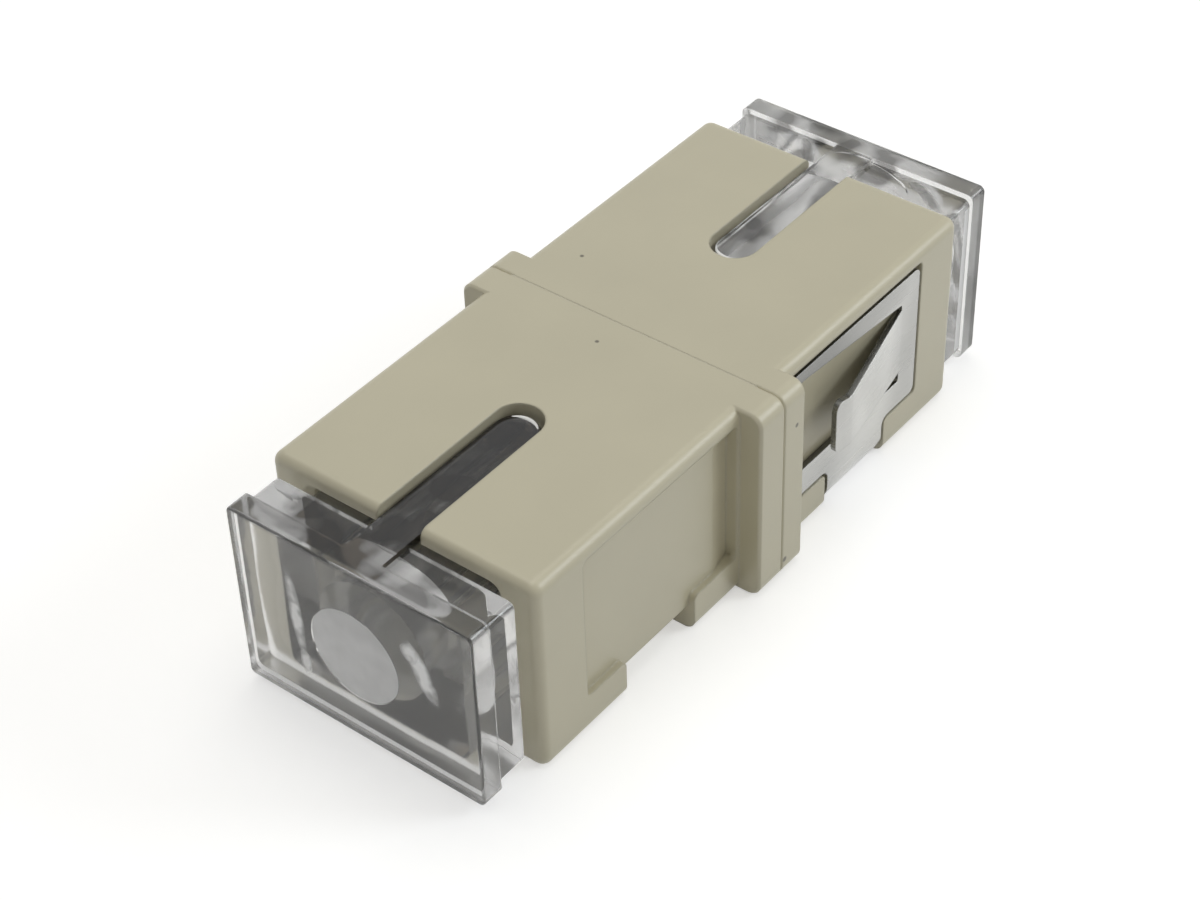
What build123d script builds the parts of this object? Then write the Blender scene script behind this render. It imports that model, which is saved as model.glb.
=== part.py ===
"""Simplex fibre optic adapter with a reduced flange, a panel clip and two dust caps.

Millimetres. Y runs along the optical axis, +Z is up on the keyway side, and the origin
is the middle of the alignment sleeve. The panel clip sits on the +Y half.
"""
from build123d import *

import os

os.makedirs("parts", exist_ok=True)

# Housing halves
body_width = 12.8
body_height = 9.3
half_length = 13.85
long_edge_radius = 0.5
end_edge_radius = 0.4

# Collar that stops against the panel
collar_reach = 1.0
collar_front_face = 1.55
collar_rear_face = 1.4
collar_edge_radius = 0.6
collar_rim_chamfer = 0.1
weld_groove = 0.07

# Ports
port_width = 9.0
port_height = 7.4
port_corner_radius = 0.3
port_lead_in = 0.3
keyway_width = 2.1
keyway_stop = 5.95

# Clip seat, cut into both halves alike
seat_depth = 0.3
seat_start = 1.7
seat_end = 11.2
seat_top_wall = 0.65
seat_corner_radius = 0.25
seat_foot_radius = 0.25
seat_bottom_chamfer = 0.95
ledge_height = 1.8
inner_ledge_end = 4.5
outer_ledge_start = 8.85
tongue_relief_depth = 0.25
tongue_relief_length = 1.2

# Latch inserts
insert_thickness = 1.2
insert_width = 10.6
insert_height = 8.1
insert_clearance = 0.06
insert_corner_radius = 0.5
tube_radius = 2.3
tube_lip = 0.6
tube_rim_chamfer = 0.2
arm_inner_x = 3.2
arm_thickness = 0.85
arm_height = 3.0
arm_tip = 9.4
barb_height = 0.55
barb_length = 1.3
arm_root_radius = 0.4

# Split alignment sleeve
sleeve_length = 11.4
sleeve_bore_radius = 1.25
sleeve_wall = 0.36
sleeve_slit = 0.5
sleeve_float = 0.1
sleeve_end_float = 0.15
sleeve_chamfer = 0.12
ferrule_clearance = 0.2

# Panel clip, one folded sheet
clip_sheet = 0.25
clip_face_gap = 0.02
clip_edge_gap = 0.1
clip_top_gap = 0.25
clip_inner_foot_gap = 0.25
clip_bend_radius = 0.9
clip_frame_strip = 0.65
clip_corner_radius = 0.35
clip_foot_radius = 0.45
window_end = 9.85
window_drop_at_start = 0.5
window_drop_at_end = 1.2
window_bottom_drop = 5.2
window_corner_radius = 0.3
tongue_slot = 0.28
tongue_foot_slot = 0.45
slot_end_radius = 0.13
tongue_neck_y = 4.75
tongue_neck_rise = 1.08
tongue_tab_drop = 3.33
tongue_tab_width = 2.65
tongue_end_y = 3.86
tongue_bend_y = 5.0
tongue_bend_radius = 1.0
tongue_spring = 0.9
tongue_tab_radius = 0.4

# Dust caps
plug_clearance = 0.06
plug_tip = 6.2
plug_corner_radius = 0.4
plug_nose_chamfer = 0.2
cap_seat_gap = 0.45
shoulder_width = 11.55
shoulder_height = 8.15
shoulder_thickness = 1.5
plate_width = 11.85
plate_height = 8.65
plate_thickness = 1.0
plate_corner_radius = 0.3
plate_edge_radius = 0.12
rib_clearance = 0.15
rib_end_gap = 0.3
rib_below_top = 0.35
cap_bore_radius = 2.65
cap_bore_end = 14.3
arm_pocket_height = 3.8
arm_pocket_gap = 0.8
gate_recess_radius = 2.15
gate_recess_depth = 0.06

# Two places closer than this are the same place
same_place = 0.01

# Sizes that follow from the ones above
half_width = body_width / 2
half_height = body_height / 2
collar_width = body_width + 2 * collar_reach
seat_floor_x = half_width - seat_depth
seat_top_z = half_height - seat_top_wall
ledge_top_z = ledge_height - half_height
sleeve_radius = sleeve_bore_radius + sleeve_wall
tube_bore_radius = sleeve_radius + sleeve_float
tube_cavity = sleeve_length / 2 + sleeve_end_float
tube_end = tube_cavity + tube_lip
plate_start = half_length + cap_seat_gap + shoulder_thickness
cap_end = plate_start + plate_thickness
rib_top_z = half_height - rib_below_top
rib_width = keyway_width - 2 * rib_clearance
rib_tip = keyway_stop + rib_end_gap


def across(side, distance):
    """Plane square to the optical axis, facing out of the port on that side, with Z up."""
    return Plane(origin=(0, side * distance, 0), x_dir=(-side, 0, 0), z_dir=(0, side, 0))


def flank(side, x_sign, x):
    """Plane of one side wall, local X running out of the port and local Y up."""
    return Plane(origin=(x_sign * x, 0, 0), x_dir=(0, side, 0), z_dir=(side, 0, 0))


def foot_corners(sketch, level, start, end):
    """The two inside corners of a side outline, where the band to the bottom begins."""
    return sketch.vertices().filter_by(
        lambda v: abs(v.Y - level) < same_place
        and min(abs(v.X - start), abs(v.X - end)) < same_place)


def housing_half(side, collar_face):
    """One moulded half of the housing, from the weld at the collar to the port mouth."""
    pocket_width = insert_width + 2 * insert_clearance
    pocket_height = insert_height + 2 * insert_clearance

    # The collar is flush above and below and stands out at the two sides
    with BuildPart() as collar:
        with BuildSketch(across(side, 0)):
            Rectangle(collar_width, body_height)
        extrude(amount=collar_face)
        fillet(collar.edges().filter_by(Axis.Y), radius=collar_edge_radius)
        rims = collar.faces().sort_by(Axis.Y)
        chamfer(rims[0 if side < 0 else -1].edges(), length=collar_rim_chamfer)
        chamfer(rims[-1 if side < 0 else 0].edges(), length=weld_groove)

    with BuildPart() as half:
        with BuildSketch(across(side, 0)):
            Rectangle(body_width, body_height)
        extrude(amount=half_length)
        fillet(half.edges().filter_by(Axis.Y), radius=long_edge_radius)
        mouth = half.faces().sort_by(Axis.Y)[0 if side < 0 else -1]
        fillet(mouth.edges(), radius=end_edge_radius)
        add(collar.part)

        # Port, its lead-in and the pocket for the latch insert
        with BuildSketch(across(side, 0)):
            RectangleRounded(port_width, port_height, port_corner_radius)
        extrude(amount=half_length, mode=Mode.SUBTRACT)
        with BuildSketch(across(side, half_length - port_lead_in)):
            RectangleRounded(port_width, port_height, port_corner_radius)
        with BuildSketch(across(side, half_length)):
            RectangleRounded(port_width + 2 * port_lead_in, port_height + 2 * port_lead_in,
                             port_corner_radius + port_lead_in)
        loft(mode=Mode.SUBTRACT)
        with BuildSketch(across(side, 0)):
            RectangleRounded(pocket_width, pocket_height, insert_corner_radius)
        extrude(amount=insert_thickness, mode=Mode.SUBTRACT)

        # Keyway through the top wall, open at the port mouth
        keyway_radius = keyway_width / 2
        keyway_length = half_length - keyway_stop - keyway_radius
        with BuildSketch(Plane.XY):
            with Locations((0, side * (keyway_stop + keyway_radius))):
                Circle(keyway_radius)
            with Locations((0, side * (half_length - keyway_length / 2))):
                Rectangle(keyway_width, keyway_length)
        extrude(amount=half_height, mode=Mode.SUBTRACT)

        # Clip seat: both side walls, and a band across the bottom between the ledges
        for x_sign in (-1, 1):
            with BuildSketch(flank(side, x_sign, seat_floor_x)) as seat:
                with Locations(((seat_start + seat_end) / 2, (seat_top_z + ledge_top_z) / 2)):
                    Rectangle(seat_end - seat_start, seat_top_z - ledge_top_z)
                fillet(seat.vertices(), radius=seat_corner_radius)
                with Locations(((inner_ledge_end + outer_ledge_start) / 2, -half_height / 2)):
                    Rectangle(outer_ledge_start - inner_ledge_end, half_height)
                fillet(foot_corners(seat, ledge_top_z, inner_ledge_end, outer_ledge_start),
                       radius=seat_foot_radius)
            extrude(amount=side * x_sign * seat_depth, mode=Mode.SUBTRACT)
            with BuildSketch(Plane.XY.offset(ledge_top_z)):
                with BuildLine():
                    Polyline((x_sign * seat_floor_x, side * seat_start),
                             (x_sign * (seat_floor_x - tongue_relief_depth), side * seat_start),
                             (x_sign * seat_floor_x, side * (seat_start + tongue_relief_length)),
                             close=True)
                make_face()
            extrude(amount=seat_top_z - ledge_top_z, mode=Mode.SUBTRACT)
        with BuildSketch(Plane.XY.offset(-half_height)):
            with Locations((0, side * (inner_ledge_end + outer_ledge_start) / 2)):
                Rectangle(body_width, outer_ledge_start - inner_ledge_end)
        extrude(amount=seat_depth, mode=Mode.SUBTRACT)
        seat_corner = half.edges().filter_by(Axis.Y).filter_by(
            lambda e: abs(abs(e.center().X) - seat_floor_x) < same_place
            and abs(e.center().Z + half_height - seat_depth) < same_place)
        chamfer(seat_corner, length=seat_bottom_chamfer)
    return half


def latch_insert(side):
    """Flange, half of the sleeve tube, and the two arms that hold a plug."""
    with BuildPart() as latch:
        with BuildSketch(across(side, 0)):
            RectangleRounded(insert_width, insert_height, insert_corner_radius)
        extrude(amount=insert_thickness)
        with BuildSketch(across(side, insert_thickness)):
            Circle(tube_radius)
        extrude(amount=tube_end - insert_thickness)
        tube_rim = latch.faces().sort_by(Axis.Y)[0 if side < 0 else -1].edges()
        chamfer(tube_rim, length=tube_rim_chamfer)

        # Arms with a hooked tip: a slope that leads the plug in and a face that holds it
        arm_outer_x = arm_inner_x + arm_thickness
        for x_sign in (-1, 1):
            with BuildSketch(Plane.XY.offset(-arm_height / 2)):
                with BuildLine():
                    Polyline((x_sign * arm_inner_x, side * insert_thickness),
                             (x_sign * arm_inner_x, side * (arm_tip - barb_length)),
                             (x_sign * (arm_inner_x - barb_height), side * (arm_tip - barb_length)),
                             (x_sign * (arm_inner_x + barb_height / 2), side * arm_tip),
                             (x_sign * arm_outer_x, side * arm_tip),
                             (x_sign * arm_outer_x, side * insert_thickness),
                             close=True)
                make_face()
            extrude(amount=arm_height)
        roots = latch.edges().filter_by(Axis.Z).filter_by(
            lambda e: abs(abs(e.center().Y) - insert_thickness) < same_place
            and abs(e.center().X) < insert_width / 2 - insert_corner_radius)
        fillet(roots, radius=arm_root_radius)

        # Sleeve cavity, stopped at the outer end by a lip that the ferrule passes
        with BuildSketch(across(side, 0)):
            Circle(tube_bore_radius)
        extrude(amount=tube_cavity, mode=Mode.SUBTRACT)
        with BuildSketch(across(side, 0)):
            Circle(sleeve_bore_radius + ferrule_clearance)
        extrude(amount=tube_end, mode=Mode.SUBTRACT)
    return latch


def dust_cap(side):
    """Clear cap: outer plate, shoulder, plug with its key rib, cored for tube and arms."""
    plug_width = port_width - 2 * plug_clearance
    plug_height = port_height - 2 * plug_clearance
    shoulder_start = half_length + cap_seat_gap
    with BuildPart() as cap:
        with BuildSketch(across(side, plug_tip)):
            RectangleRounded(plug_width, plug_height, plug_corner_radius)
        extrude(amount=plate_start - plug_tip)
        plug_nose = cap.faces().sort_by(Axis.Y)[-1 if side < 0 else 0]
        chamfer(plug_nose.edges(), length=plug_nose_chamfer)
        with BuildSketch(across(side, shoulder_start)):
            RectangleRounded(shoulder_width, shoulder_height, plate_corner_radius)
        extrude(amount=shoulder_thickness)
        with BuildSketch(across(side, plate_start)):
            RectangleRounded(plate_width, plate_height, plate_corner_radius)
        extrude(amount=plate_thickness)
        outer_face = cap.faces().sort_by(Axis.Y)[0 if side < 0 else -1]
        fillet(outer_face.edges(), radius=plate_edge_radius)

        # Key rib with a round inner end
        rib_base_z = plug_height / 4
        rib_straight = plate_start - rib_tip - rib_width / 2
        with BuildSketch(Plane.XY.offset(rib_base_z)):
            with Locations((0, side * (rib_tip + rib_width / 2))):
                Circle(rib_width / 2)
            with Locations((0, side * (plate_start - rib_straight / 2))):
                Rectangle(rib_width, rib_straight)
        extrude(amount=rib_top_z - rib_base_z)

        # Core for the sleeve tube, side pockets for the latch arms, gate recess outside
        with BuildSketch(across(side, plug_tip)):
            Circle(cap_bore_radius)
        extrude(amount=cap_bore_end - plug_tip, mode=Mode.SUBTRACT)
        with BuildSketch(across(side, plug_tip)):
            Rectangle(plug_width, arm_pocket_height)
        extrude(amount=arm_tip + arm_pocket_gap - plug_tip, mode=Mode.SUBTRACT)
        with BuildSketch(across(side, cap_end - gate_recess_depth)):
            Circle(gate_recess_radius)
        extrude(amount=gate_recess_depth, mode=Mode.SUBTRACT)
    return cap


# Housing, welded at the collar
front_housing = housing_half(-1, collar_front_face)
front_housing.part.label = "front_housing"
export_step(front_housing.part, "parts/front_housing.step")

rear_housing = housing_half(1, collar_rear_face)
rear_housing.part.label = "rear_housing"
export_step(rear_housing.part, "parts/rear_housing.step")

# Latch inserts, back to back inside the collar
front_latch = latch_insert(-1)
front_latch.part.label = "front_latch"
export_step(front_latch.part, "parts/front_latch.step")

rear_latch = latch_insert(1)
rear_latch.part.label = "rear_latch"
export_step(rear_latch.part, "parts/rear_latch.step")

# Alignment sleeve, slit along its top
with BuildPart() as alignment_sleeve:
    with BuildSketch(across(1, 0)):
        Circle(sleeve_radius)
        Circle(sleeve_bore_radius, mode=Mode.SUBTRACT)
        with Locations((0, sleeve_radius)):
            Rectangle(sleeve_slit, 2 * sleeve_wall + sleeve_slit, mode=Mode.SUBTRACT)
    extrude(amount=sleeve_length / 2, both=True)
    bore_rims = alignment_sleeve.edges().filter_by(GeomType.CIRCLE).filter_by(
        lambda e: abs(e.radius - sleeve_bore_radius) < same_place)
    chamfer(bore_rims, length=sleeve_chamfer)
alignment_sleeve.part.label = "alignment_sleeve"
export_step(alignment_sleeve.part, "parts/alignment_sleeve.step")

# Panel clip: a U of sheet round the bottom, a window and a sprung tongue in each leg
clip_inner_x = seat_floor_x + clip_face_gap
clip_outer_x = clip_inner_x + clip_sheet
clip_bottom_z = -half_height + seat_depth - clip_face_gap - clip_sheet
clip_start = seat_start + clip_edge_gap
clip_end = seat_end - clip_edge_gap
clip_top_z = seat_top_z - clip_top_gap
leg_foot_z = ledge_top_z + clip_edge_gap
band_start = inner_ledge_end + clip_inner_foot_gap
band_end = outer_ledge_start - clip_edge_gap
window_start = clip_start + clip_frame_strip
window_bottom_z = clip_top_z - window_bottom_drop
window_end_z = clip_top_z - window_drop_at_end
tongue_top_z = window_end_z - tongue_slot
tongue_bottom_z = window_bottom_z + tongue_foot_slot
tongue_root_y = window_end + clip_sheet
tongue_tab_z = clip_top_z - tongue_tab_drop

# Tongues: the bent strip seen from above, trimmed to its outline seen from the side
with BuildPart() as tongues:
    with BuildSketch(Plane.XY.offset(window_bottom_z)) as strip:
        with BuildLine():
            Polyline((clip_inner_x, tongue_root_y),
                     (clip_outer_x, tongue_root_y),
                     (clip_outer_x, window_end),
                     (clip_outer_x + tongue_spring, tongue_bend_y),
                     (clip_outer_x + tongue_spring, tongue_end_y),
                     (clip_inner_x + tongue_spring, tongue_end_y),
                     (clip_inner_x + tongue_spring, tongue_bend_y),
                     (clip_inner_x, window_end), close=True)
        make_face()
        bends = strip.vertices().filter_by(
            lambda v: min(abs(v.Y - tongue_bend_y), abs(v.Y - window_end)) < same_place)
        fillet(bends, radius=tongue_bend_radius)
    extrude(amount=window_end_z - window_bottom_z)
    with BuildSketch(Plane.YZ.offset(clip_inner_x)) as tongue_outline:
        with BuildLine():
            Polyline((tongue_root_y, tongue_top_z),
                     (window_end, tongue_top_z),
                     (tongue_neck_y, tongue_tab_z + tongue_neck_rise),
                     (tongue_end_y, tongue_tab_z + tongue_tab_width / 2),
                     (tongue_end_y, tongue_tab_z - tongue_tab_width / 2),
                     (tongue_neck_y, tongue_bottom_z),
                     (tongue_root_y, tongue_bottom_z), close=True)
        make_face()
        tab_corners = tongue_outline.vertices().filter_by(
            lambda v: v.X < tongue_neck_y + same_place)
        fillet(tab_corners, radius=tongue_tab_radius)
    extrude(amount=clip_sheet + tongue_spring, mode=Mode.INTERSECT)
    mirror(about=Plane.YZ)

with BuildPart() as panel_clip:
    # Folded U, seen along the optical axis
    with BuildSketch(across(1, clip_start)) as folded:
        with Locations((0, (clip_top_z + clip_bottom_z) / 2)):
            Rectangle(2 * clip_outer_x, clip_top_z - clip_bottom_z)
        fillet(folded.vertices().group_by(Axis.Y)[0], radius=clip_bend_radius)
    extrude(amount=clip_end - clip_start)
    with BuildSketch(across(1, clip_start)) as folded_inside:
        with Locations((0, (clip_top_z + clip_bottom_z + clip_sheet) / 2)):
            Rectangle(2 * clip_inner_x, clip_top_z - clip_bottom_z - clip_sheet)
        fillet(folded_inside.vertices().group_by(Axis.Y)[0], radius=clip_bend_radius - clip_sheet)
    extrude(amount=clip_end - clip_start, mode=Mode.SUBTRACT)

    # Outline of a leg seen from the side: its foot between the ledges is narrower
    with BuildSketch(Plane.YZ) as outline:
        with Locations(((clip_start + clip_end) / 2, (clip_top_z + leg_foot_z) / 2)):
            Rectangle(clip_end - clip_start, clip_top_z - leg_foot_z)
        fillet(outline.vertices(), radius=clip_corner_radius)
        with Locations(((band_start + band_end) / 2, clip_bottom_z / 2)):
            Rectangle(band_end - band_start, -clip_bottom_z)
        fillet(foot_corners(outline, leg_foot_z, band_start, band_end), radius=clip_foot_radius)
    extrude(amount=half_width, both=True, mode=Mode.INTERSECT)

    # Window in each leg, its upper edge falling towards the tongue's root
    with BuildSketch(Plane.YZ) as window:
        with BuildLine():
            Polyline((window_start, clip_top_z - window_drop_at_start),
                     (window_start, window_bottom_z),
                     (window_end, window_bottom_z),
                     (window_end, window_end_z), close=True)
        make_face()
        fillet(window.vertices().group_by(Axis.X)[0], radius=window_corner_radius)
        fillet(window.vertices().group_by(Axis.X)[-1], radius=slot_end_radius)
    extrude(amount=half_width, both=True, mode=Mode.SUBTRACT)
    add(tongues.part)
panel_clip.part.label = "panel_clip"
export_step(panel_clip.part, "parts/panel_clip.step")

# Dust caps
front_cap = dust_cap(-1)
front_cap.part.label = "front_cap"
export_step(front_cap.part, "parts/front_cap.step")

rear_cap = dust_cap(1)
rear_cap.part.label = "rear_cap"
export_step(rear_cap.part, "parts/rear_cap.step")
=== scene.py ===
import math

import bmesh
import bpy
from mathutils import Matrix, Vector


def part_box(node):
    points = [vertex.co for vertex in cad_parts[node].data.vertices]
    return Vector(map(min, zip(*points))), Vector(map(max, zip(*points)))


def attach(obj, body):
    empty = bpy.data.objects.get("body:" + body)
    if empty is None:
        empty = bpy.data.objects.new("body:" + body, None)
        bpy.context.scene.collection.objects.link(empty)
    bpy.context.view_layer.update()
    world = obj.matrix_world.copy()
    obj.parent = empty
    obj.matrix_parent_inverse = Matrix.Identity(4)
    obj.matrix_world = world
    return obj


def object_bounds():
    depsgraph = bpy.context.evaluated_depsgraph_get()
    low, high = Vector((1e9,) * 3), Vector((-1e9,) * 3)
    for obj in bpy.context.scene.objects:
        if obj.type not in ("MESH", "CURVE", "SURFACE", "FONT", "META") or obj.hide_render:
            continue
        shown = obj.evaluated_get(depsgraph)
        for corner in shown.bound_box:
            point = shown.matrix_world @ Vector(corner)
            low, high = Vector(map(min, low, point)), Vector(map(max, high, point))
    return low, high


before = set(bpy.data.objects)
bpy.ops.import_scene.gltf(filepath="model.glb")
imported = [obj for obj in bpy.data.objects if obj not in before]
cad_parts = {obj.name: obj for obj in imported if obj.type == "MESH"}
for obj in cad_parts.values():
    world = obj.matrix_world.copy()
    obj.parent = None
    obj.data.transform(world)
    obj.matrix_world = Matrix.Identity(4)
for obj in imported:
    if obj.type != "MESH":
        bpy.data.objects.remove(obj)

cad_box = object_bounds()
scene = bpy.context.scene
MM = 0.001

# Camera: the photograph's width in pixels, and the width of the sensor in millimetres
PHOTO_WIDTH = 1200
SENSOR_WIDTH = 36

# Moulded plastic: size of a speck in its cell, the shade of cell that has one, painted highlight
# on rounded edges
SPECK_SIZE = 0.035
SPECKED_ABOVE = 0.72
EDGE_HIGHLIGHT = 0.13
DIRT_COLOUR = (0.03, 0.025, 0.02, 1)

# Clear plastic of the dust caps, with the tint of the shade painted into it
CLEAR_TINT = (0.87, 0.87, 0.865, 1)
SHADE_TINT = (0.014, 0.010, 0.006, 1)
UNDERSIDE_SHADE = 0.25
UNPOLISHED = 0.26
RIB_CALM = 0.75

# Finish of the dust caps: gate recess; painted glints beside the gate, painted highlights at the
# end of the key rib and on the side of the shoulder
GATE_SKIN_RADIUS = 2.12 * MM
GATE_SKIN_THICKNESS = 0.02 * MM
GATE_SKIN_DEPTH = 0.055 * MM
PAINTED_GLINT_DEPTH = 0.2 * MM
RIB_END_CENTRE = 7.15 * MM
RIB_HALF_WIDTH = 0.9 * MM
RIB_TOP = 4.30 * MM
RIB_BEAD = 0.11 * MM
RIB_BEAD_LEAST = 0.04
RIB_BEAD_TAPER = 1.5
BAND_SIZE = (0.02 * MM, 0.36 * MM, 7.5 * MM)
BAND_FROM_END = 1.19 * MM
SHOULDER_SIDE = 5.775 * MM

# Painted glints beside each gate, for reflections inside the cap: across, rise, length and width
# in millimetres, lean in degrees
PAINTED_GLINTS = ((-2.95, 0.5, 4.6, 0.75, -4),
              (-2.72, -1.9, 1.6, 0.6, 0),
              (3.30, 1.00, 3.2, 1.05, -24),
              (2.75, 1.75, 1.0, 1.0, 0))

# Specks of dirt on the housing in millimetres: place and radius
DIRT_ON_HOUSING = (((-4.51, 2.63, 4.65), 0.11),
                   ((-0.56, -1.43, 4.65), 0.11),
                   ((7.4, 0.83, 2.80), 0.13),
                   ((7.4, 0.21, -3.79), 0.16))

# Studio: half the side of the floor in metres, and the gap that keeps it off the underside
FLOOR_REACH = 1.5
FLOOR_GAP = 0.01 * MM


# Camera, at the angle of the photograph

def look_from(azimuth, elevation, roll, distance, aside, upward, focal_px):
    """Angles in degrees, distance and offsets in millimetres, focal length in pixels."""
    az, el, ro = (math.radians(a) for a in (azimuth, elevation, roll))
    back = Vector((math.sin(az) * math.cos(el), -math.cos(az) * math.cos(el), math.sin(el)))
    level = (-back).cross(Vector((0, 0, 1))).normalized()
    rise = level.cross(-back)
    right = math.cos(ro) * level + math.sin(ro) * rise
    up = math.cos(ro) * rise - math.sin(ro) * level
    place = (back * distance + right * aside + up * upward) * MM
    data = bpy.data.cameras.new("photo_camera")
    data.sensor_width = SENSOR_WIDTH
    data.lens = SENSOR_WIDTH * focal_px / PHOTO_WIDTH
    data.clip_start = 0.005
    data.clip_end = 10
    camera = bpy.data.objects.new("photo_camera", data)
    turn = Matrix((right, up, back)).transposed().to_4x4()
    camera.matrix_world = Matrix.Translation(place) @ turn
    scene.collection.objects.link(camera)
    scene.camera = camera


look_from(azimuth=39.289, elevation=40.601, roll=-2.025, distance=106.783,
          aside=-1.327, upward=-1.245, focal_px=2643.221)
scene.view_settings.view_transform = "Standard"


# Node helpers

class Nodes:
    def __init__(self, tree):
        self.tree = tree
        tree.nodes.clear()

    def add(self, kind, values=None, **settings):
        """A node with its sockets filled by values or by links from other nodes."""
        node = self.tree.nodes.new(kind)
        for name, value in settings.items():
            setattr(node, name, value)
        for name, value in (values or {}).items():
            if isinstance(value, bpy.types.NodeSocket):
                self.tree.links.new(value, node.inputs[name])
            else:
                node.inputs[name].default_value = value
        return node

    def math(self, operation, *values, clamp=False):
        node = self.add("ShaderNodeMath", dict(enumerate(values)), operation=operation)
        node.use_clamp = clamp
        return node.outputs[0]

    def size_of(self, value):
        """The value without its sign."""
        return self.math("ABSOLUTE", value)

    def times(self, first, *others):
        for other in others:
            first = self.math("MULTIPLY", first, other)
        return first

    def most(self, first, *others):
        for other in others:
            first = self.math("MAXIMUM", first, other)
        return first

    def scaled(self, value, by, plus):
        return self.math("MULTIPLY_ADD", value, by, plus)

    def ramp(self, value, start, end, low=0.0, high=1.0):
        """Low before start, high past end, and straight in between."""
        return self.add("ShaderNodeMapRange", {"Value": value, "From Min": start, "From Max": end,
                                               "To Min": low, "To Max": high}).outputs[0]

    def place(self):
        """Where the surface point lies in the shared frame, in metres."""
        return self.add("ShaderNodeTexCoord").outputs["Object"]

    def axes(self, vector):
        return self.add("ShaderNodeSeparateXYZ", {0: vector}).outputs

    def noise(self, vector, scale, detail):
        return self.add("ShaderNodeTexNoise", {"Vector": vector, "Scale": scale,
                                               "Detail": detail}).outputs["Fac"]

    def stretched(self, vector, scales):
        return self.add("ShaderNodeMapping", {"Vector": vector, "Scale": scales}).outputs[0]

    def seen(self):
        """One for the rays that should see a white studio, nought for those that light it."""
        rays = self.add("ShaderNodeLightPath").outputs
        return self.math("ADD", self.math("ADD", rays["Is Camera Ray"], rays["Is Glossy Ray"]),
                         rays["Is Transmission Ray"], clamp=True)

    def surface(self, values):
        shader = self.add("ShaderNodeBsdfPrincipled", values)
        self.add("ShaderNodeOutputMaterial", {"Surface": shader.outputs[0]})


def new_material(name):
    material = bpy.data.materials.new(name)
    material.use_nodes = True
    return material, Nodes(material.node_tree)


def give(material, *nodes):
    for name in nodes:
        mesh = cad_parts[name].data
        mesh.materials.clear()
        mesh.materials.append(material)


def make_piece(name, bm, material):
    """Turn a finished shape into an object of the scene."""
    mesh = bpy.data.meshes.new(name)
    bm.to_mesh(mesh)
    bm.free()
    mesh.materials.append(material)
    piece = bpy.data.objects.new(name, mesh)
    scene.collection.objects.link(piece)
    return piece


# Moulded plastic: fine spark-eroded grain, soft mottle and a few dark specks

def moulded_surface_group():
    group = bpy.data.node_groups.new("moulded_surface", "ShaderNodeTree")
    n = Nodes(group)
    for name, kind, value in (("Colour", "NodeSocketColor", (0.5, 0.5, 0.5, 1)),
                              ("Mottle", "NodeSocketFloat", 0.05),
                              ("Specks", "NodeSocketFloat", 0.0),
                              ("Roughness", "NodeSocketFloat", 0.45),
                              ("Grain", "NodeSocketFloat", 0.2),
                              ("Edge", "NodeSocketFloat", 0.0001)):
        socket = group.interface.new_socket(name, in_out="INPUT", socket_type=kind)
        socket.default_value = value
    for name, kind in (("Colour", "NodeSocketColor"), ("Roughness", "NodeSocketFloat"),
                       ("Normal", "NodeSocketVector")):
        group.interface.new_socket(name, in_out="OUTPUT", socket_type=kind)
    given = n.add("NodeGroupInput").outputs
    place = n.place()
    mottle = n.math("SUBTRACT", n.noise(place, scale=260, detail=3), 0.5)
    grain = n.noise(place, scale=9000, detail=2)
    tint = n.scaled(mottle, by=given["Mottle"], plus=1.0)

    # Specks sit in the middle of about one cell in five
    cells = n.add("ShaderNodeTexVoronoi", {"Vector": place, "Scale": 330}).outputs
    speck = n.times(n.math("LESS_THAN", cells["Distance"], SPECK_SIZE),
                    n.math("GREATER_THAN", cells["Color"], SPECKED_ABOVE), given["Specks"])

    # Rounded long edges are painted lighter, a painted highlight where the lamps catch the
    # fillets
    facing = n.axes(n.add("ShaderNodeNewGeometry").outputs["Normal"])
    rounded = n.size_of(n.times(facing["X"], facing["Z"]))
    edge_highlight = n.scaled(rounded, by=EDGE_HIGHLIGHT, plus=1.0)
    shade = n.times(tint, n.math("SUBTRACT", 1.0, speck), edge_highlight)
    colour = n.add("ShaderNodeVectorMath", {0: given["Colour"], "Scale": shade},
                   operation="SCALE")
    soft_edge = n.add("ShaderNodeBevel", {"Radius": given["Edge"]})
    bump = n.add("ShaderNodeBump", {"Strength": given["Grain"], "Distance": 4e-6,
                                    "Height": grain, "Normal": soft_edge.outputs[0]})
    n.add("NodeGroupOutput", {"Colour": colour.outputs[0],
                              "Roughness": n.scaled(mottle, by=0.06, plus=given["Roughness"]),
                              "Normal": bump.outputs[0]})
    return group


moulded_surface = moulded_surface_group()


def moulded_plastic(name, colour, mottle, specks, roughness, grain, edge, dirt=()):
    material, n = new_material(name)
    skin = n.add("ShaderNodeGroup", node_tree=moulded_surface)
    skin.inputs["Colour"].default_value = (*colour, 1)
    skin.inputs["Mottle"].default_value = mottle
    skin.inputs["Specks"].default_value = specks
    skin.inputs["Roughness"].default_value = roughness
    skin.inputs["Grain"].default_value = grain
    skin.inputs["Edge"].default_value = edge
    paint = skin.outputs["Colour"]
    place = n.place()
    for spot, radius in dirt:
        away = n.add("ShaderNodeVectorMath", {0: place, 1: [c * MM for c in spot]},
                     operation="DISTANCE").outputs["Value"]
        mark = n.ramp(away, 0.5 * radius * MM, radius * MM, low=0.75, high=0.0)
        paint = n.add("ShaderNodeMix", {"Factor": mark, 6: paint, 7: DIRT_COLOUR},
                      data_type="RGBA").outputs[2]
    n.surface({"Base Color": paint,
               "Roughness": skin.outputs["Roughness"],
               "Normal": skin.outputs["Normal"],
               "IOR": 1.56})
    return material


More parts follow.
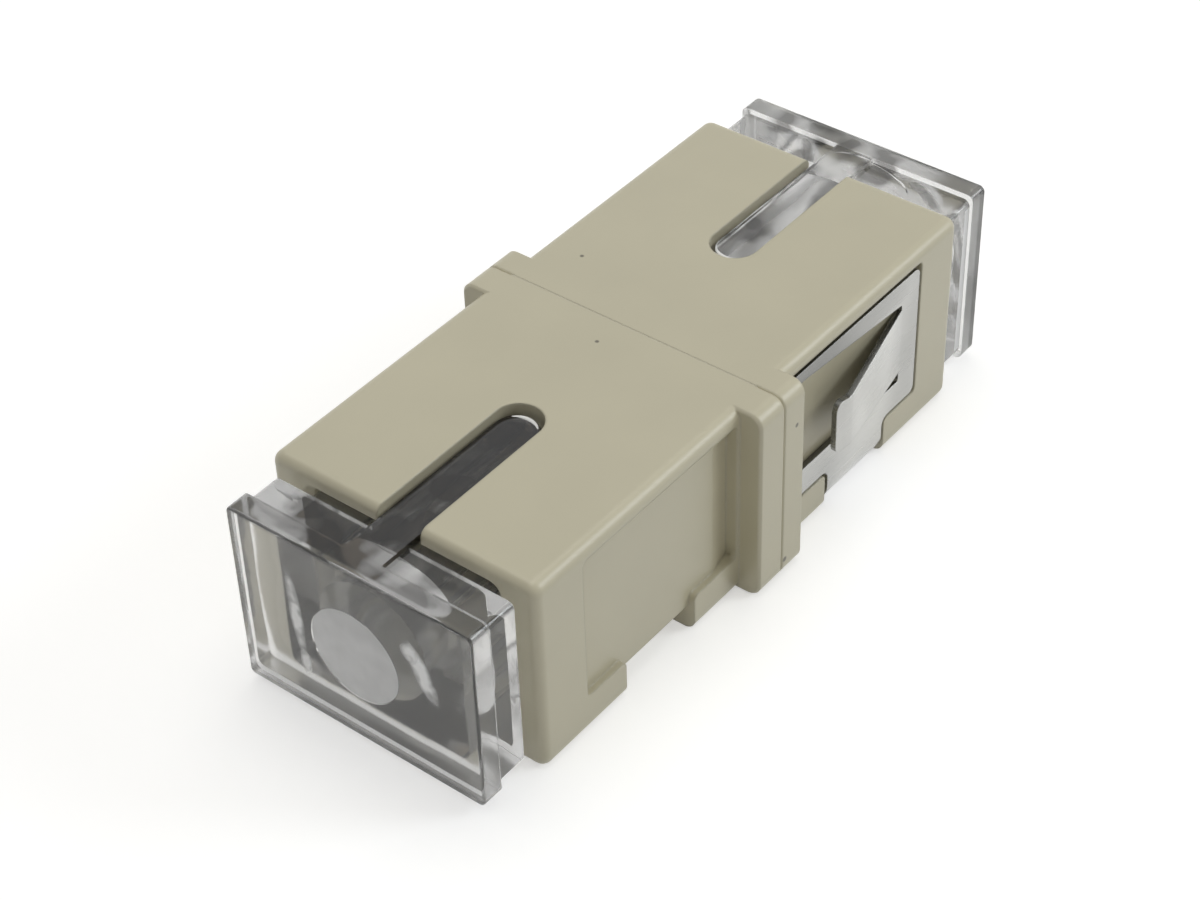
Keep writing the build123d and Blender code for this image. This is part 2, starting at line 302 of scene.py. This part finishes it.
give(moulded_plastic("beige_housing", (0.525, 0.489, 0.359), mottle=0.10, specks=0.8,
                     roughness=0.33, grain=0.5, edge=0.15 * MM, dirt=DIRT_ON_HOUSING),
     "front_housing", "rear_housing")
give(moulded_plastic("latch_insert", (0.52, 0.49, 0.40), mottle=0.06, specks=0.0,
                     roughness=0.40, grain=0.3, edge=0.08 * MM),
     "front_latch", "rear_latch")
give(moulded_plastic("white_ceramic", (0.82, 0.82, 0.79), mottle=0.02, specks=0.0,
                     roughness=0.18, grain=0.05, edge=0.03 * MM),
     "alignment_sleeve")


# Rolled spring sheet: faint rolling lines, soft dents, and painted shade on its cut edges, struts
# and tab

def rolled_steel():
    material, n = new_material("rolled_spring_sheet")
    place = n.place()
    lines = n.noise(n.stretched(place, (900, 90, 9000)), scale=1.0, detail=3)
    dents = n.noise(place, scale=340, detail=1)
    bright = n.scaled(dents, by=0.22, plus=0.43)

    # Painted shade: the rolled sides are bright, the cut edges and the folded bottom are painted
    # darker by the way they face
    facing = n.axes(n.add("ShaderNodeNewGeometry").outputs["True Normal"])
    rolled = n.math("GREATER_THAN", n.size_of(facing["X"]), 0.35)
    edge_shade = n.scaled(n.size_of(facing["Y"]), by=0.40, plus=0.50)

    # Painted shade: the strut over the window, the outer strut and the raised tab are painted
    # darker too, for the dark they reflect
    where = n.axes(place)
    strut = n.times(n.ramp(where["Z"], 2.3 * MM, 2.9 * MM),
                    n.ramp(where["Y"], 10.6 * MM, 5.0 * MM, low=0.18, high=0.52))
    outer = n.ramp(where["Y"], 8.6 * MM, 10.6 * MM, high=0.20)
    tab = n.ramp(where["Y"], 5.6 * MM, 4.4 * MM, high=0.16)
    painted_shade = n.most(strut, outer, tab)
    tone = n.times(bright, n.most(rolled, edge_shade), n.math("SUBTRACT", 1.0, painted_shade))
    colour = n.add("ShaderNodeCombineColor", {"Red": tone, "Green": tone,
                                              "Blue": n.times(tone, 0.97)})
    soft_edge = n.add("ShaderNodeBevel", {"Radius": 0.05 * MM})
    bump = n.add("ShaderNodeBump", {"Strength": 0.3, "Distance": 2e-6,
                                    "Height": n.scaled(dents, by=40.0, plus=lines),
                                    "Normal": soft_edge.outputs[0]})
    n.surface({"Base Color": colour.outputs[0],
               "Metallic": 1.0,
               "Roughness": n.scaled(lines, by=0.12, plus=0.20),
               "Normal": bump.outputs[0]})
    return material


give(rolled_steel(), "panel_clip")


# Clear cap plastic, slightly milky, with soft flow waves and painted shade

def clear_plastic():
    material, n = new_material("clear_cap_plastic")
    place = n.place()
    where = n.axes(place)
    from_middle = n.size_of(where["X"])
    along = n.size_of(where["Y"])
    front_half = n.ramp(where["Y"], 0, -1 * MM)
    rear_half = n.ramp(where["Y"], 0, 1 * MM)
    waves = n.noise(place, scale=330, detail=0.5)
    streaks = n.noise(n.stretched(place, (1500, 130, 1500)), scale=1.0, detail=2)
    blots = n.noise(place, scale=620, detail=1.5)

    # Painted shade: the key rib of the front cap is painted dark, for the dark port behind it,
    # with lighter streaks along it
    rib_shade = n.times(n.ramp(where["Z"], 4.10 * MM, 4.16 * MM),
                    n.ramp(where["Y"], -14.2 * MM, -13.0 * MM, low=0.5), front_half,
                    n.ramp(streaks, 0.44, 0.60, low=1.0, high=0.75))

    # Painted shade: shoulders are painted patchy dark between their clear ends, darkest beside
    # the front rib
    on_shoulder = n.times(n.ramp(from_middle, 4.7 * MM, 4.0 * MM),
                          n.ramp(along, 16.7 * MM, 16.5 * MM),
                          n.ramp(where["Z"], 3.8 * MM, 4.0 * MM))
    beside_rib = n.ramp(n.size_of(n.math("ADD", where["X"], 1.2 * MM)), 3.2 * MM, 2.4 * MM)
    rib_side_shade = n.times(front_half, beside_rib, n.ramp(blots, 0.42, 0.60, low=1.0, high=0.72))
    shoulder_shade = n.times(on_shoulder, n.most(n.ramp(blots, 0.40, 0.54, low=0.85, high=0.0), rib_side_shade))

    # Painted shade: the outer part of the rear plate's sides is painted grey, and so is the front
    # cap underneath
    rim = n.times(n.ramp(from_middle, 5.80 * MM, 5.88 * MM),
                  n.ramp(where["Y"], 16.3 * MM, 16.42 * MM, high=0.7))
    under = n.ramp(where["Z"], -3.98 * MM, -4.04 * MM)
    grey = n.times(under, front_half, UNDERSIDE_SHADE)
    tint = n.add("ShaderNodeMix", {"Factor": n.most(rib_shade, shoulder_shade, rim, grey),
                                   6: CLEAR_TINT, 7: SHADE_TINT}, data_type="RGBA")

    # Both plates, the rear plate's rim, the rear plug's core and the undersides are less polished
    polish = n.ramp(along, 15.5 * MM, 15.8 * MM, low=0.05, high=0.13)
    rim_face = n.times(n.most(n.ramp(from_middle, 5.82 * MM, 5.90 * MM),
                              n.ramp(n.size_of(where["Z"]), 4.22 * MM, 4.30 * MM)),
                       n.ramp(where["Y"], 15.70 * MM, 15.78 * MM))
    flat = n.add("ShaderNodeVectorMath", {0: place, 1: (1, 0, 1)}, operation="MULTIPLY")
    from_axis = n.add("ShaderNodeVectorMath", {0: flat.outputs[0]}, operation="LENGTH")
    core = n.times(n.ramp(from_axis.outputs["Value"], 2.8 * MM, 2.7 * MM),
                   n.ramp(where["Y"], 14.6 * MM, 14.4 * MM), rear_half)
    rough = n.scaled(n.most(rim_face, under, core), by=UNPOLISHED, plus=polish)

    # The rear rib is calm, the rest has waves and fine streaks
    calm = n.times(n.ramp(where["Z"], 3.9 * MM, 4.15 * MM), rear_half)
    height = n.times(n.scaled(streaks, by=0.05, plus=waves),
                     n.scaled(calm, by=-RIB_CALM, plus=1.0))
    bump = n.add("ShaderNodeBump", {"Strength": 1.0, "Distance": 1.2e-4, "Height": height})
    n.surface({"Base Color": tint.outputs[2],
               "Roughness": rough,
               "IOR": 1.52,
               "Transmission Weight": 0.95,
               "Normal": bump.outputs[0]})
    return material


give(clear_plastic(), "front_cap", "rear_cap")


# Finish of the caps: frosted gate, and painted light: glints beside the gate and highlights on
# edges

def frosted_plastic():
    """Cloudy, with painted light that makes it lighter towards the lower left as seen from the
    front.
    """
    material, n = new_material("frosted_gate_plastic")
    place = n.place()
    where = n.axes(place)
    cloud = n.scaled(n.noise(place, scale=900, detail=2), by=0.26, plus=0.60)
    # Painted light: the tone leans lighter towards the lower left
    lean = n.times(n.math("ADD", where["X"], where["Z"]), -24.0)
    tone = n.math("ADD", cloud, lean)
    colour = n.add("ShaderNodeCombineColor", {"Red": tone, "Green": tone, "Blue": tone})
    n.surface({"Base Color": colour.outputs[0], "Roughness": 0.55, "IOR": 1.5})
    return material


def painted_glint_plastic():
    """A painted glint, frosted like the gate, fading out towards the rim of each mark."""
    material, n = new_material("frosted_painted_glint")
    rim = n.add("ShaderNodeUVMap", uv_map="rim").outputs[0]
    out = n.add("ShaderNodeVectorMath", {0: rim}, operation="LENGTH").outputs["Value"]
    ripple = n.noise(n.place(), scale=2200, detail=1)
    body = n.math("MULTIPLY", n.math("SUBTRACT", 1.0, out, clamp=True),
                  n.scaled(ripple, by=3.4, plus=-0.1), clamp=True)
    n.surface({"Base Color": (0.9, 0.9, 0.9, 1), "Roughness": 0.4, "IOR": 1.5, "Alpha": body})
    return material


# Pale plastic for the painted highlights at the rib ends and on the shoulder sides
highlight_plastic = moulded_plastic("painted_highlight_plastic", (0.86, 0.86, 0.86), mottle=0.0, specks=0.0,
                            roughness=0.25, grain=0.0, edge=0.01 * MM)
frosted = frosted_plastic()
glint_frost = painted_glint_plastic()


def outer_end(cap):
    """The cap's outer face along the optical axis, and the direction that leads out of it."""
    low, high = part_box(cap)
    return (low[1], -1) if cap == "front_cap" else (high[1], 1)


def turned(degrees, axis):
    return Matrix.Rotation(math.radians(degrees), 3, axis)


def put_on_cap(name, bm, cap, material):
    """Turn a finished shape into a piece that moves with its cap."""
    piece = make_piece(name, bm, material)
    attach(piece, cap)


def frosted_gate(name, cap):
    """The frosted skin on the floor of the gate recess."""
    outer, outward = outer_end(cap)
    y = outer - outward * (GATE_SKIN_DEPTH - GATE_SKIN_THICKNESS / 2)
    bm = bmesh.new()
    bmesh.ops.create_cone(bm, cap_ends=True, segments=96, radius1=GATE_SKIN_RADIUS,
                          radius2=GATE_SKIN_RADIUS, depth=GATE_SKIN_THICKNESS)
    bmesh.ops.rotate(bm, verts=bm.verts, matrix=turned(90, "X"))
    bmesh.ops.translate(bm, verts=bm.verts, vec=(0, y, 0))
    put_on_cap(name, bm, cap, frosted)


def painted_glint(name, cap, across, rise, length, width, lean):
    """A flat patch of frosting just under the outer face, beside the gate: a painted glint for a
    reflection inside the cap.
    """
    outer, outward = outer_end(cap)
    bm = bmesh.new()
    bmesh.ops.create_grid(bm, x_segments=12, y_segments=12, size=1.0)
    rim = bm.loops.layers.uv.new("rim")
    for face in bm.faces:
        for loop in face.loops:
            loop[rim].uv = loop.vert.co.xy
    bmesh.ops.rotate(bm, verts=bm.verts, matrix=turned(90, "X"))
    bmesh.ops.scale(bm, verts=bm.verts, vec=(width / 2 * MM, 1, length / 2 * MM))
    bmesh.ops.rotate(bm, verts=bm.verts, matrix=turned(lean, "Y"))
    bmesh.ops.translate(bm, verts=bm.verts,
                        vec=(across * MM, outer - outward * PAINTED_GLINT_DEPTH, rise * MM))
    if cap == "rear_cap":
        bmesh.ops.reverse_faces(bm, faces=bm.faces)
    put_on_cap(name, bm, cap, glint_frost)


def rib_end_highlight(name, cap):
    """A painted highlight on the rounded upper edge at the inner end of the key rib, lighter than
    the clear plastic.
    """
    outward = outer_end(cap)[1]
    reach = RIB_HALF_WIDTH - RIB_BEAD
    bm = bmesh.new()
    ring = bmesh.ops.create_circle(bm, segments=12, radius=RIB_BEAD)["verts"]
    bmesh.ops.rotate(bm, verts=bm.verts, matrix=turned(90, "X"))
    bmesh.ops.translate(bm, verts=bm.verts, vec=(reach, 0, 0))
    bmesh.ops.spin(bm, geom=ring + bm.edges[:], cent=(0, 0, 0), axis=(0, 0, 1),
                   angle=-outward * math.pi, steps=28)
    bmesh.ops.holes_fill(bm, edges=[e for e in bm.edges if e.is_boundary], sides=0)
    bmesh.ops.recalc_face_normals(bm, faces=bm.faces)

    # Full at the tip of the rib, thinning out to a point at both sides
    for vert in bm.verts:
        from_centre = Vector((vert.co.x, vert.co.y, 0)).normalized()
        middle = from_centre * reach
        slim = max(RIB_BEAD_LEAST, abs(from_centre.y)) ** RIB_BEAD_TAPER
        vert.co = middle + (vert.co - middle) * slim + from_centre * RIB_BEAD * (1 - slim)
    bmesh.ops.translate(bm, verts=bm.verts,
                        vec=(0, outward * RIB_END_CENTRE, RIB_TOP - RIB_BEAD / 2))
    put_on_cap(name, bm, cap, highlight_plastic)


def shoulder_highlight(name, cap, side):
    """A pale band on one side of the shoulder, against the plate: a painted highlight where the
    side lamp catches it.
    """
    outer, outward = outer_end(cap)
    bm = bmesh.new()
    bmesh.ops.create_cube(bm, size=1.0)
    bmesh.ops.scale(bm, verts=bm.verts, vec=BAND_SIZE)
    bmesh.ops.translate(bm, verts=bm.verts,
                        vec=(side * SHOULDER_SIDE, outer - outward * BAND_FROM_END, 0))
    put_on_cap(name, bm, cap, highlight_plastic)


# Painted highlights on the sides of the rear shoulder
shoulder_highlight("rear_shoulder_band_right", "rear_cap", 1)
shoulder_highlight("rear_shoulder_band_left", "rear_cap", -1)
# On each cap: the frosted gate, a painted highlight at the rib end and painted glints beside the
# gate
for end in ("front", "rear"):
    frosted_gate(end + "_gate_frost", end + "_cap")
    rib_end_highlight(end + "_rib_end_highlight", end + "_cap")
    for number, mark in enumerate(PAINTED_GLINTS, start=1):
        painted_glint(f"{end}_painted_glint_{number}", end + "_cap", *mark)


# Studio: pale floor, soft sky and two soft boxes

def floor_paint():
    """Pale, with a white of its own, and clear from below."""
    material, n = new_material("studio_floor")
    paint = n.add("ShaderNodeBsdfDiffuse", {"Color": (0.8, 0.8, 0.8, 1)})

    # The lamps' light fades with distance, so the floor's own white grows
    away = n.add("ShaderNodeVectorMath", {0: n.place()}, operation="LENGTH").outputs["Value"]
    white = n.ramp(away, 0.10, 0.60, low=0.45, high=0.80)
    glow = n.add("ShaderNodeEmission", {"Color": (1, 1, 1, 1),
                                        "Strength": n.times(n.seen(), white)})
    both = n.add("ShaderNodeAddShader", {0: paint.outputs[0], 1: glow.outputs[0]})

    # From below the floor is clear, so that the underside can be looked at
    below = n.add("ShaderNodeNewGeometry").outputs["Backfacing"]
    clear = n.add("ShaderNodeBsdfTransparent")
    sided = n.add("ShaderNodeMixShader", {0: below, 1: both.outputs[0], 2: clear.outputs[0]})
    n.add("ShaderNodeOutputMaterial", {"Surface": sided.outputs[0]})
    return material


def studio_floor():
    bm = bmesh.new()
    bmesh.ops.create_grid(bm, x_segments=1, y_segments=1, size=FLOOR_REACH)
    bmesh.ops.translate(bm, verts=bm.verts, vec=(0, 0, cad_box[0][2] - FLOOR_GAP))
    floor = make_piece("studio_floor", bm, floor_paint())


def studio_sky():
    """White where it is seen, and as a light weaker from the front than from the rear."""
    world = bpy.data.worlds.new("studio_sky")
    scene.world = world
    world.use_nodes = True
    n = Nodes(world.node_tree)
    towards = n.axes(n.add("ShaderNodeTexCoord").outputs["Generated"])["Y"]
    strength = n.most(n.seen(), n.ramp(towards, -1.0, 1.0, low=0.28, high=0.42))
    sky = n.add("ShaderNodeBackground", {"Color": (1, 1, 1, 1), "Strength": strength})
    n.add("ShaderNodeOutputWorld", {"Surface": sky.outputs[0]})


def soft_box(name, place, size, watts, colour):
    """A square lamp at its place, turned towards the origin."""
    data = bpy.data.lights.new(name, "AREA")
    data.shape = "SQUARE"
    data.size = size
    data.energy = watts
    data.color = colour
    lamp = bpy.data.objects.new(name, data)
    turn = Vector(place).to_track_quat("Z", "Y").to_matrix().to_4x4()
    lamp.matrix_world = Matrix.Translation(place) @ turn
    scene.collection.objects.link(lamp)


studio_floor()
studio_sky()
soft_box("overhead_box", (-0.05, 0.05, 0.40), size=0.35, watts=0.68, colour=(1.0, 0.98, 0.91))
soft_box("side_box", (0.31, 0.28, 0.23), size=0.17, watts=0.545, colour=(0.91, 0.96, 1.0))
